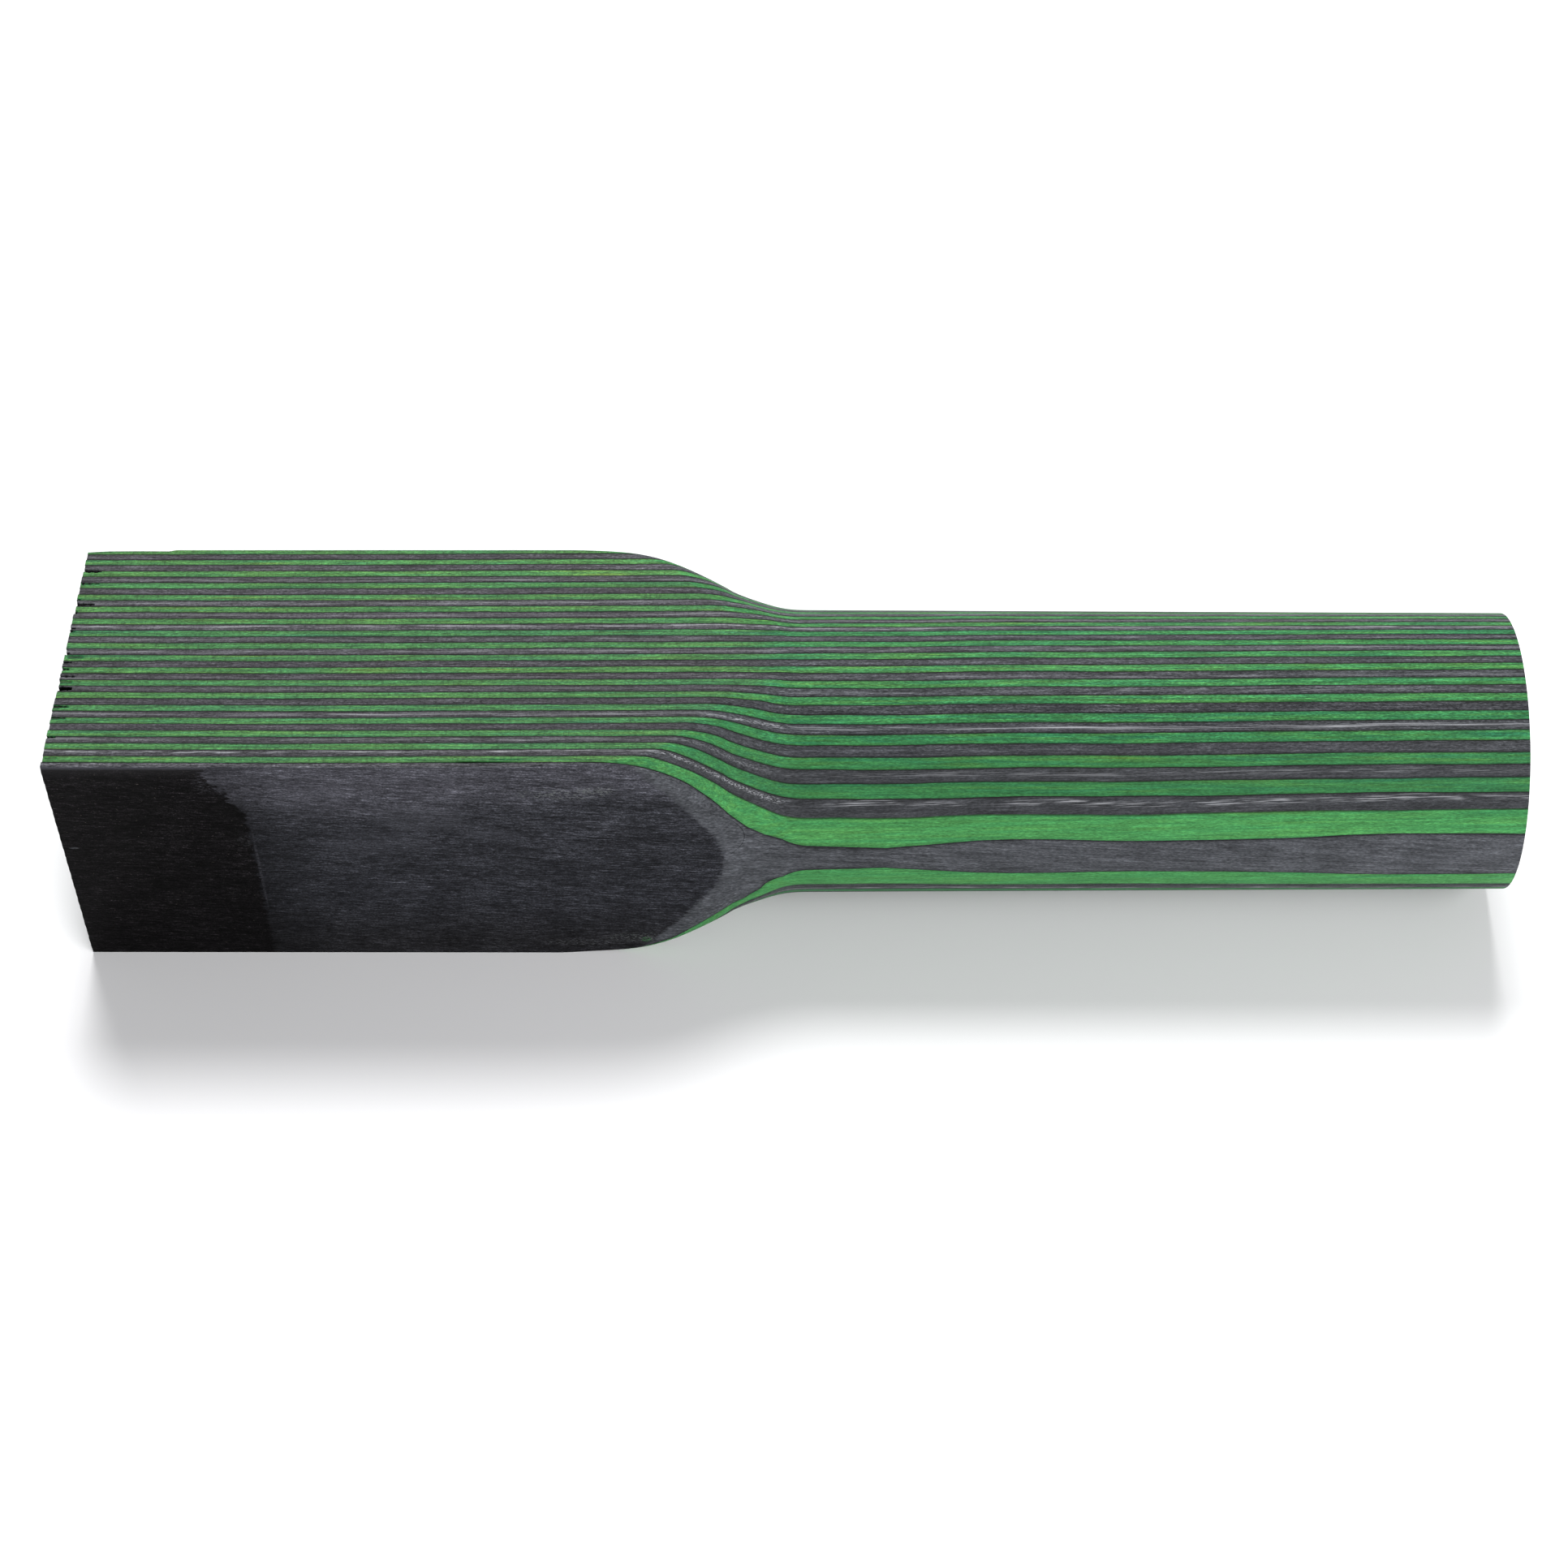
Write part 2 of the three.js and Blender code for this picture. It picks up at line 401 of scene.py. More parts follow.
def relieve(number, over, below):
    """Sinks a veneer's rims a little, grooves its glue lines, tears splinters out, opens the
    split and breaks the rear top corner. Returns how deep the rims are torn."""
    hollow = [tear(number, over), np.zeros(below.shape[:2])]
    for side, points in enumerate((over, below)):
        depth = np.full(points.shape[:2], SUNK[number])
        depth[:, 0] = GROOVE
        if 1 < number < VENEER_COUNT:
            depth[:, -1] = GROOVE
        # The relief fades out where the rim is narrower than a millimetre
        rim = np.linalg.norm(points[:, 0] - points[:, -1], axis=1)[:, None]
        depth = depth * np.clip(rim, 0, 1)
        if number < 3 and side == 0:
            split = np.interp(points[:, 0, 0], SPLIT_X, SPLIT)
            edge = slice(0, 2) if number == 1 else slice(-3, None)
            depth[:, edge] += split[:, None] * ((1.0, 0.5) if number == 1 else (0.25, 0.8, 1.0))
            # The open split counts as torn too, so the materials paint shade into it
            hollow[side][:, edge] = np.maximum(hollow[side][:, edge], depth[:, edge] - GROOVE)
        points += inward(points) * (depth + hollow[side])[..., None]
    if number == VENEER_COUNT:
        chip = np.interp(over[..., 0], CHIP_X, CHIP) * grow(over[..., 2], CHIP_LOW, CHIP_OVER)
        broken = np.maximum(over[..., 1] - (STACK / 2 - chip), 0)
        over[..., 1] -= broken * np.where(chip > 0, CHIP_CUT, 0.0)
    if number == VENEER_COUNT - 1:
        # Its two rims meet at the back where the last veneer is gone
        pinched = TOP[number] == 0
        below[pinched, 0] = over[pinched, 0]
    return hollow


def sawn_end(points, number):
    """How far the sawn end stands back at these points: a step per veneer, and saw marks."""
    z = points[..., 2]
    marks = 0.03 * np.sin(z * 2.9 + 0.25 * points[..., 1]) + 0.02 * np.sin(z * 1.13 + number)
    return END_STEP[number] + END_BACK + marks


def shape_ends(points, number):
    """Moves stations near the ends along X: the rough sawn end, and the slanting round end."""
    x = points[..., 0].copy()
    near_saw = (1 - grow(x, SAWN_END, SAW_REACH)) ** 2
    near_round = grow(x, ROUND_END - SLANT_REACH, SLANT_REACH)
    lowest = axis_z(ROUND_END) - BAR_END[1]
    slant = END_SLANT * (points[..., 2] - lowest) * near_round
    points[..., 0] = x + near_saw * sawn_end(points, number) - np.maximum(slant, 0)


# Meshes

# Points that round to the same multiples of this become one
WELD = 2e-4
# The bake map, in shares of its height: the rims over the top and underneath have a band each,
# cut into rows, and above them lie thin bands for the glued faces and for the ends, which are
# given as station and foot of the band
RIM_BAND = 0.475
ROWS, ROW_MARGIN = 8, 0.04
OUTER_ROWS, OUTER_MARGIN = 2, 0.003
BACK_GLUED, FRONT_GLUED, GLUED_HEIGHT = 0.962, 0.952, 0.008
END_BANDS, END_HEIGHT = ((0, 0.972), (-1, 0.986)), 0.012
FILLER_PLACE = (0.5, 0.955)
SIDE_MARGIN = 0.002
# Points up an inner veneer's end face, and columns across an outer veneer's
END_POINTS = 61
OUTER_END_COLUMNS = 5


def weld_keys(points):
    return np.round(points / WELD).astype(np.int64)


class Patchwork:
    """Collects patches of quads with map coordinates, then welds them to one closed mesh."""

    def __init__(self):
        self.points, self.faces, self.maps, self.count = [], [], [], 0

    def add(self, points, faces, maps):
        self.points.append(points.reshape(-1, 3))
        self.faces += [tuple(i + self.count for i in face) for face in faces]
        self.maps += maps
        self.count += points.size // 3

    def grid(self, points, u, v, flip):
        """Adds rows and columns of points, mapped to u by row and v by column."""
        rows, columns = points.shape[:2]
        u, v = np.meshgrid(SIDE_MARGIN + (1 - 2 * SIDE_MARGIN) * u, v, indexing="ij")
        i, j = np.meshgrid(np.arange(rows - 1), np.arange(columns - 1), indexing="ij")
        corner = (i * columns + j).ravel()
        faces = np.stack([corner, corner + 1, corner + columns + 1, corner + columns], 1)
        maps = np.stack([u.ravel(), v.ravel()], 1)[faces]
        if flip:
            faces, maps = faces[:, ::-1], maps[:, ::-1]
        self.add(points, faces.tolist(), maps.tolist())

    def strip(self, points, share, rows, low, height, margin, flip):
        """Adds a long strip, mapped as shorter rows stacked upwards from low. Share is how far
        round the strip each column lies."""
        along = points[:, points.shape[1] // 2, 0]
        marks = np.searchsorted(along, np.linspace(along[0], along[-1], rows + 1)[1:-1])
        marks = [0, *marks, len(along) - 1]
        for row, (start, end) in enumerate(zip(marks[:-1], marks[1:])):
            u = (along[start:end + 1] - along[start]) / (along[end] - along[start])
            v = low + row * height + margin + (height - 2 * margin) * share
            self.grid(points[start:end + 1], u, v, flip)

    def filler(self, edge, rest, flip):
        """Closes the gap between an end face's side and the first quad of the glued face."""
        loop = np.concatenate([edge, rest])
        order = tuple(range(len(loop)))
        self.add(loop, [order[::-1] if flip else order], [[FILLER_PLACE] * len(loop)])

    def glued_face(self, below, over, low, flip):
        """Adds a face hidden between two veneers, from its lower and upper edges."""
        along = (below[:, 0] - SAWN_END) / LENGTH
        v = np.array([low, low + GLUED_HEIGHT])
        self.grid(np.stack([below, over], 1), along, v, flip)

    def welded(self):
        points = np.concatenate(self.points)
        _, first, same = np.unique(weld_keys(points), axis=0, return_index=True,
                                   return_inverse=True)
        same = same.ravel()
        faces, maps = [], []
        for face, mapped in zip(self.faces, self.maps):
            kept, kept_maps = [], []
            for i, m in zip(face, mapped):
                s = int(same[i])
                if not kept or kept[-1] != s:
                    kept.append(s)
                    kept_maps.append(m)
            if len(kept) > 1 and kept[0] == kept[-1]:
                kept.pop()
                kept_maps.pop()
            if len(kept) > 2 and len(set(kept)) == len(kept):
                faces.append(kept)
                maps.append(kept_maps)
        return points[first], faces, maps


def inner_veneer(patchwork, number, over, below):
    share = np.linspace(0, 1, over.shape[1])
    for points, low, flip in ((over, 0.0, False), (below, RIM_BAND, True)):
        height = RIM_BAND / ROWS
        patchwork.strip(points, share, ROWS, low, height, ROW_MARGIN * height, flip)
    t = np.linspace(0, 1, END_POINTS)
    for station, low in END_BANDS:
        sawn = station == 0
        columns = (below[station][None] * (1 - t[:, None, None])
                   + over[station][None] * t[:, None, None])
        if sawn:
            body = columns[1:-1]
            body[..., 0] = SAWN_END + sawn_end(body, number)
        patchwork.grid(columns, t, low + END_HEIGHT * share, not sawn)
        near = 1 if sawn else -2
        for column in (0, -1):
            rest = np.stack([over[near, column], below[near, column]])
            patchwork.filler(columns[:, column], rest, sawn == (column == 0))
    patchwork.glued_face(below[1:-1, 0], over[1:-1, 0], BACK_GLUED, False)
    patchwork.glued_face(below[1:-1, -1], over[1:-1, -1], FRONT_GLUED, True)


def outer_end(number, over, below, station):
    """The rim of an outer veneer's end from the top down, and its glued edge beside that."""
    rim = np.concatenate([over[station], below[station][::-1][1:]])
    x, z = rim[:, 0], rim[:, 2]
    k = 1 if number == 1 else VENEER_COUNT - 1
    z = np.clip(np.minimum.accumulate(z), z[-1], z[0])
    inner = np.stack([x, glue_surface(k, x, z), z], -1)
    inner[0], inner[-1] = rim[0], rim[-1]
    return rim, inner


def outer_veneer(patchwork, number, over, below):
    """Veneer 1 or the last one, whose outer surface goes round its free face. The last one thins
    out to nothing, so it has no end at the bar."""
    last = number == VENEER_COUNT
    whole = np.concatenate([over, below[:, ::-1][:, 1:]], 1)
    steps = np.linalg.norm(np.diff(whole[len(whole) // 4], axis=0), axis=1)
    share = np.concatenate([[0], np.cumsum(steps)]) / steps.sum()
    patchwork.strip(whole, share, OUTER_ROWS, 0.0, RIM_BAND, OUTER_MARGIN, last)
    t = np.linspace(0, 1, OUTER_END_COLUMNS)
    for station, low in END_BANDS[:1] if last else END_BANDS:
        sawn = station == 0
        rim, inner = outer_end(number, over, below, station)
        if sawn:
            inner[1:-1, 0] = SAWN_END + sawn_end(inner[1:-1], number)
        columns = rim[:, None] * (1 - t[None, :, None]) + inner[:, None] * t[None, :, None]
        flip = sawn != last
        patchwork.grid(columns, np.linspace(0, 1, len(rim)), low + END_HEIGHT * t, flip)
        near = 1 if sawn else -2
        rest = np.stack([below[near, 0], over[near, 0]])
        patchwork.filler(inner, rest, not flip)
    stop = None if last else -1
    patchwork.glued_face(below[1:stop, 0], over[1:stop, 0], FRONT_GLUED, last)


def torn_depth(points, *sets):
    """The torn-out depth at welded points, looked up from the rims they came from."""
    known = {}
    for rim, depth in sets:
        hit = depth > 0
        for key, deep in zip(weld_keys(rim[hit]), depth[hit]):
            known[tuple(key)] = deep
    return np.array([known.get(tuple(key), 0.0) for key in weld_keys(points)])


# What sets single veneers apart: how light they are, how yellow (+) or blue (-) the green is,
# where across them a pale vein runs and how clear it is, how the grain slants, and how pitted
# they are
PALE = {1: 1.44, 2: 0.95, 3: 0.86, 5: 0.88, 7: 0.94, 9: 0.96, 11: 0.88, 13: 0.97, 15: 0.93,
        17: 0.94, 19: 1.06, 21: 0.98, 23: 1.18, 25: 1.04, 27: 1.16, 29: 1.08, 32: 1.13,
        33: 1.12, 34: 1.12}
TINT = {2: 0.3, 4: -0.2, 8: -0.3, 10: -0.45, 12: 0.1, 14: -0.2, 16: 0.45, 20: -0.1, 22: -0.6,
        24: 0.3, 26: 0.3, 28: 0.3, 32: 0.45, 34: 0.1}
VEINS = {3: (0.66, 0.85), 5: (0.6, 0.35), 9: (0.5, 0.8), 13: (0.5, 0.25), 15: (0.4, 0.3),
         19: (0.5, 0.5), 21: (0.5, 0.3), 23: (0.62, 1.0), 25: (0.5, 0.5), 27: (0.55, 0.6),
         31: (0.4, 0.4)}
SLANT = {1: 0.07, 3: -0.06}
PITS = {7: 0.4, 11: 1.0, 15: 0.7, 17: 0.8, 21: 0.3}
# Between these X, veneer 2 gets this light, where it was turned nearly along its growth layers
TURNED_X, TURNED_PALE = (-40, -12), 1.42
# Spreads the veneers' seeds evenly between 0 and 1
SEED_STEP = 0.6180339
# Edges that turn by more degrees than this stay sharp
SHARP_ANGLE = 38


def own_looks(number, points):
    """What the materials read at each point of a veneer."""
    seed = (number * SEED_STEP) % 1.0
    vein, strength = VEINS.get(number, (0, 0))
    pale = PALE.get(number, 1.0)
    if number == 2:
        pale = np.interp(points[:, 0], TURNED_X, (pale, TURNED_PALE))
    return {"across": across(number, points), "seed": seed, "pale": pale,
            "tint": TINT.get(number, 0.0), "vein": vein, "vein_strength": strength,
            "pits": PITS.get(number, 0.0), "slant": SLANT.get(number, 0.1 * seed - 0.05),
            "gap": to_glue(number, points)}


def veneer_mesh(number, name):
    over, below = ring(number)
    if number == VENEER_COUNT:
        gone = int(np.argmax(TOP[number - 1] == 0))
        over, below = over[:gone + 1], below[:gone + 1]
    hollow_over, hollow_below = relieve(number, over, below)
    shape_ends(over, number)
    shape_ends(below, number)
    patchwork = Patchwork()
    fill = outer_veneer if number in (1, VENEER_COUNT) else inner_veneer
    fill(patchwork, number, over, below)
    points, faces, maps = patchwork.welded()
    looks = own_looks(number, points)
    # How deep each point is torn out, which the materials turn into painted shade
    looks["hollow"] = torn_depth(points, (over, hollow_over), (below, hollow_below))
    return build(name, points, faces, maps, looks)


def build(name, points, faces, maps, looks):
    mesh = bpy.data.meshes.new(name)
    mesh.from_pydata((points * MM).tolist(), [], faces)
    layer = mesh.uv_layers.new(name="OFBake")
    flat = np.array([m for mapped in maps for m in mapped], np.float32)
    layer.data.foreach_set("uv", flat.ravel())
    shell = bmesh.new()
    shell.from_mesh(mesh)
    bmesh.ops.recalc_face_normals(shell, faces=shell.faces)
    shell.to_mesh(mesh)
    shell.free()
    for title, values in looks.items():
        attribute = mesh.attributes.new(title, "FLOAT", "POINT")
        values = np.broadcast_to(np.asarray(values, np.float32), len(points))
        attribute.data.foreach_set("value", np.ascontiguousarray(values))
    mesh.update()
    mesh.shade_smooth()
    mesh.set_sharp_from_angle(angle=math.radians(SHARP_ANGLE))
    return linked(name, mesh)


def linked(name, data):
    thing = bpy.data.objects.new(name, data)
    bpy.context.scene.collection.objects.link(thing)
    return thing


# Materials

class Shader:
    """Short calls to build a node tree."""

    def __init__(self, name):
        self.material = bpy.data.materials.new(name)
        self.material.use_nodes = True
        self.tree = self.material.node_tree
        self.tree.nodes.clear()

    def fill(self, socket, value):
        if isinstance(value, bpy.types.NodeSocket):
            self.tree.links.new(value, socket)
        else:
            socket.default_value = value

    def node(self, kind, inputs=None, **settings):
        node = self.tree.nodes.new(kind)
        for key, value in settings.items():
            setattr(node, key, value)
        for key, value in (inputs or {}).items():
            self.fill(node.inputs[key], value)
        return node

    def math(self, operation, *values):
        inputs = dict(enumerate(values))
        return self.node("ShaderNodeMath", inputs, operation=operation).outputs[0]

    def add(self, a, b):
        return self.math("ADD", a, b)

    def sub(self, a, b):
        return self.math("SUBTRACT", a, b)

    def mul(self, a, b):
        return self.math("MULTIPLY", a, b)

    def div(self, a, b):
        return self.math("DIVIDE", a, b)

    def absolute(self, value):
        return self.math("ABSOLUTE", value)

    def attribute(self, name):
        return self.node("ShaderNodeAttribute", attribute_name=name).outputs["Fac"]

    def vector(self, x, y, z):
        return self.node("ShaderNodeCombineXYZ", {0: x, 1: y, 2: z}).outputs[0]

    def noise(self, vector, detail=2.0, roughness=0.6):
        inputs = {"Vector": vector, "Scale": 1.0, "Detail": detail, "Roughness": roughness,
                  "Distortion": 0.0}
        return self.node("ShaderNodeTexNoise", inputs).outputs["Fac"]

    def step(self, value, low, high):
        """0 below low, 1 above high, smooth between; low may be the larger."""
        inputs = {"Value": value, "From Min": low, "From Max": high, "To Min": 0.0, "To Max": 1.0}
        return self.node("ShaderNodeMapRange", inputs, interpolation_type="SMOOTHSTEP").outputs[0]

    def between(self, low, high, value, low_in=0.3, high_in=0.7):
        """Evenly from low to high while value goes from low_in to high_in, and no further."""
        inputs = {"Value": value, "From Min": low_in, "From Max": high_in, "To Min": low,
                  "To Max": high}
        return self.node("ShaderNodeMapRange", inputs).outputs[0]

    def inside(self, value, low, high, soft):
        """1 where value lies between low and high, with soft edges."""
        return self.mul(self.step(value, low - soft, low + soft),
                        self.step(value, high + soft, high - soft))

    def mix(self, factor, a, b, blend="MIX"):
        node = self.node("ShaderNodeMix", data_type="RGBA", blend_type=blend)
        for key, value in ((0, factor), (6, a), (7, b)):
            self.fill(node.inputs[key], value)
        return node.outputs[2]

    def times(self, colour, factor):
        return self.mix(1.0, colour, self.vector(factor, factor, factor), "MULTIPLY")

    def darker(self, colour, where, share):
        """Takes share off a colour's light, as far as where goes up to 1."""
        return self.times(colour, self.sub(1.0, self.mul(where, share)))

    def ramp(self, value, *stops):
        node = self.node("ShaderNodeValToRGB", {"Fac": value})
        elements = node.color_ramp.elements
        while len(elements) < len(stops):
            elements.new(0.5)
        for element, (place, colour) in zip(elements, stops):
            element.position = place
            element.color = colour
        return node.outputs[0]

    def surface(self, specular, inputs):
        """Ends the tree in a surface of this specular level, the same all over."""
        shader = self.node("ShaderNodeBsdfPrincipled", inputs)
        shader.inputs["Specular IOR Level"].default_value = specular
        output = self.node("ShaderNodeOutputMaterial")
        self.tree.links.new(shader.outputs[0], output.inputs[0])
        return self.material


def linear(*screen):
    """Linear values of 0-255 screen values."""
    return [v / 3294.6 if v <= 10.3 else ((v / 255 + 0.055) / 1.055) ** 2.4 for v in screen]


# How much light falls on the top and on the front of the blank, as a white matt face would show it
TOP_LIGHT, FRONT_LIGHT = 1.85, 1.3


def seen(red, green, blue, light=TOP_LIGHT):
    """The base colour of a face that looks like these 0-255 screen values in that light."""
    return (*(v / light for v in linear(red, green, blue)), 1.0)


# How far a noise typically strays from its middle
NOISE_SPREAD = 0.11
# How far apart in the noises the veneers' seeds put them
SEED_REACH = 60.0
BUMP_DEPTH = 0.00008


class Wood(Shader):
    """Dyed veneer. Growth layers lie nearly in the sheet, so tones change fast across it, slowly
    up it and very slowly along it."""

    def __init__(self, name):
        super().__init__(name)
        place = self.node("ShaderNodeSeparateXYZ",
                          {0: self.node("ShaderNodeTexCoord").outputs["Object"]}).outputs
        self.x, self.y, self.z = (self.mul(place[i], 1 / MM) for i in range(3))
        facing = self.node("ShaderNodeNewGeometry").outputs["Normal"]
        self.facing = self.node("ShaderNodeSeparateXYZ", {0: facing}).outputs
        runout, lean = self.mul(self.x, GLUE_RUNOUT), self.mul(self.z, GLUE_LEAN)
        self.layer = self.sub(self.sub(self.y, runout), lean)
        self.up = self.add(self.z, self.mul(self.x, self.attribute("slant")))
        self.seed = self.attribute("seed")
        self.shift = self.mul(self.seed, SEED_REACH)
        self.edge = self.attribute("gap")
        # The same measured on the surface, which may cut the glue line at a shallow angle
        square = self.mul(self.facing[1], self.facing[1])
        cut = self.math("SQRT", self.math("MAXIMUM", self.sub(1.0, square), 0.02))
        self.rim_gap = self.div(self.edge, cut)
        self.shallow = self.step(cut, 0.7, 0.35)
        self.flat_grain = self.step(cut, 0.98, 0.6)
        # The shoulder leans towards the bar
        self.lean = self.step(self.absolute(self.facing[0]), 0.1, 0.4)
        # The saw left the flat faces rougher than the turned ones
        flat = self.step(self.absolute(self.facing[2]), 0.985, 0.997)
        self.sawn = self.mul(flat, self.step(self.x, -2.0, -8.0))

    def grain(self, along, through, upward, offset=0.0):
        """Where to read a noise whose grains have these sizes."""
        shifted = self.add(self.shift, offset)
        return self.vector(self.add(self.div(self.x, along), shifted),
                           self.div(self.layer, through), self.div(self.up, upward))

    def varied(self, *layers, calmer=True):
        """A factor around 1 from noises, each (along, through, upward, strength), calmer where
        the surface runs nearly along the growth layers."""
        total = 0.0
        for number, (along, through, upward, strength) in enumerate(layers):
            noise = self.noise(self.grain(along, through, upward, 3.7 * number))
            total = self.add(total, self.mul(self.sub(noise, 0.5), strength / NOISE_SPREAD))
        if calmer:
            along_layers = self.math("MAXIMUM", self.flat_grain, self.lean)
            total = self.mul(total, self.between(1.0, 0.55, along_layers, 0.0, 1.0))
        return self.math("EXPONENT", total)

    def veins(self):
        """1 on the pale threads of a vein, which wanders a little across its veneer."""
        wander = self.noise(self.grain(25.0, 9.0, 9.0, 11.0), roughness=0.5)
        middle = self.add(self.attribute("across"), self.between(-0.16, 0.16, wander))
        off = self.absolute(self.sub(middle, self.attribute("vein")))
        vein = self.mul(self.step(off, 0.24, 0.04), self.attribute("vein_strength"))
        threads = self.noise(self.grain(26.0, 0.1, 0.22, 13.0), roughness=0.5)
        broken = self.noise(self.grain(14.0, 1.5, 3.0, 17.0))
        threads = self.mul(self.step(threads, 0.48, 0.62), self.step(broken, 0.3, 0.5))
        return self.mul(vein, threads)

    def dyed(self, colour, light, fibre, streak, seam):
        """Gives a base colour its fine fibres and streaks, light veins, dark pits, the ticks of
        the saw and the glue lines. Returns the height of the fibres, streaks and glue lines too."""
        self.fibres = self.varied((9.0, 0.8, 2.0, 0.8 * streak), (24.0, 0.2, 0.4, 1.3 * streak),
                                  (3.6, 0.22, 0.4, fibre), (0.7, 0.15, 0.2, 1.9 * fibre))
        colour = self.times(colour, self.mul(self.fibres, self.attribute("pale")))
        colour = self.mix(self.veins(), colour, light)
        pits = self.noise(self.grain(0.9, 0.3, 0.45, 19.0))
        pits = self.mul(self.step(pits, 0.42, 0.32), self.attribute("pits"))
        colour = self.darker(colour, pits, 0.6)
        ticks = self.noise(self.grain(0.3, 1.4, 1.8, 3.0), 1.0, 0.5)
        ticks = self.mul(self.step(ticks, 0.44, 0.32), self.sawn)
        colour = self.darker(colour, ticks, 0.25)
        # The wood is darker beside the glue
        colour = self.times(colour, self.between(0.6, 1.0, self.rim_gap, 0.05, 0.32))
        colour = self.times(colour, self.between(0.72, 1.0, self.edge, 0.0, 0.13))
        uneven = self.noise(self.grain(1.5, 9.0, 2.0, 23.0))
        glue = self.add(self.rim_gap, self.between(-0.02, 0.02, uneven))
        glue = self.step(glue, 0.11, 0.06)
        share = self.between(0.92, 0.25, self.shallow, 0.0, 1.0)
        colour = self.mix(self.mul(glue, share), colour, seam)
        return colour, self.sub(self.mul(self.fibres, 0.5), self.mul(glue, 0.5))

    def pit_shade_and_kerf(self, colour):
        """Painted shade in torn-out pits and the split, darker the deeper they go, and darker end
        grain, which shows the saw's cuts.
        """
        # Painted shade: the deeper a point is torn out, up to 0.25 mm, the darker, down to a
        # twentieth of its colour
        left = self.between(1.0, 0.05, self.attribute("hollow"), 0.0, 0.25)
        end = self.step(self.absolute(self.facing[0]), 0.6, 0.9)
        bowed = self.mul(self.mul(self.y, self.y), 0.012)
        path = self.vector(self.seed, self.div(self.y, 14.0),
                           self.div(self.add(self.z, bowed), 0.45))
        kerf = self.between(0.55, 1.05, self.noise(path, roughness=0.7))
        kerf = self.add(self.mul(self.sub(kerf, 1.0), end), 1.0)
        kerf = self.mul(kerf, self.between(1.0, 0.9, end, 0.0, 1.0))
        return self.times(colour, self.mul(left, kerf))

    def finished(self, colour, height, rough, specular):
        bump = self.node("ShaderNodeBump", {"Height": height, "Strength": 0.5,
                                            "Distance": BUMP_DEPTH})
        roughness = self.between(rough + 0.06, rough - 0.06, self.fibres, 0.7, 1.3)
        return self.surface(specular, {"Base Color": colour, "Roughness": roughness,
                                       "Normal": bump.outputs[0]})


def green_wood():
    w = Wood("dyed_green_birch")
    patches = w.noise(w.grain(24.0, 0.45, 0.9, 20.0), 3.0)
    calm = w.between(1.0, 0.4, w.math("MAXIMUM", w.shallow, w.lean), 0.0, 1.0)
    hue = w.add(w.mul(w.sub(patches, 0.5), calm), 0.5)
    hue = w.add(hue, w.mul(w.attribute("tint"), 0.13))
    turned = w.ramp(hue, (0.25, seen(46, 132, 90)), (0.5, seen(66, 145, 82)),
                    (0.7, seen(88, 153, 74)), (0.9, seen(128, 172, 64)))
    sawn = w.ramp(hue, (0.25, seen(58, 126, 86)), (0.5, seen(74, 138, 77)),
                  (0.7, seen(94, 145, 72)), (0.9, seen(138, 166, 64)))
    colour = w.mix(w.sawn, turned, sawn)
    colour, height = w.dyed(colour, seen(120, 172, 104), 0.18, 0.15, seen(22, 40, 26))
    return w.finished(w.pit_shade_and_kerf(colour), height, 0.6, 0.15)


def charcoal(w):
    clouds = w.noise(w.grain(9.0, 0.8, 6.0, 20.0))
    turned = w.ramp(clouds, (0.3, seen(72, 74, 78)), (0.7, seen(86, 88, 93)))
    sawn = w.ramp(clouds, (0.3, seen(72, 71, 75)), (0.7, seen(87, 87, 92)))
    colour = w.mix(w.sawn, turned, sawn)
    return w.dyed(colour, seen(206, 208, 214), 0.25, 0.21, seen(31, 28, 27))


def charcoal_wood():
    w = Wood("dyed_charcoal_birch")
    colour, height = charcoal(w)
    return w.finished(w.pit_shade_and_kerf(colour), height, 0.58, 0.12)


# The front face lies nearly in one growth layer, so its noises hardly change through the sheet
FLAT = 5.0
# Where the dark skin of the front face ends, at the height of the axis, and how that line bows
SKIN_END_X, SKIN_END_Z, SKIN_BEND, SKIN_BOW = -12.0, 26.0, 10.0, 9.3
# The stain stops below the top edge, from the first Z up to the second one between these X, and
# fades out from below that line to above it
STAIN_Z, STAIN_X, STAIN_FADE = (40.5, 46.0), (-85.0, -30.0), (-7.0, 5.0)
# The blank was held up to here; from this Z up, the line leans over by this slope
HELD_X, HELD_LEANS_Z, HELD_SLOPE = -94.0, 38.0, 0.55
# A hairline crack beside the end of the skin: X, half width, lowest and highest Z, the Z where
# it lies furthest right, and its bow
CRACK_X, CRACK_HALF, CRACK_Z = -8.5, 0.08, (27.7, 38.4)
CRACK_MIDDLE_Z, CRACK_BOW = 31.9, 0.14
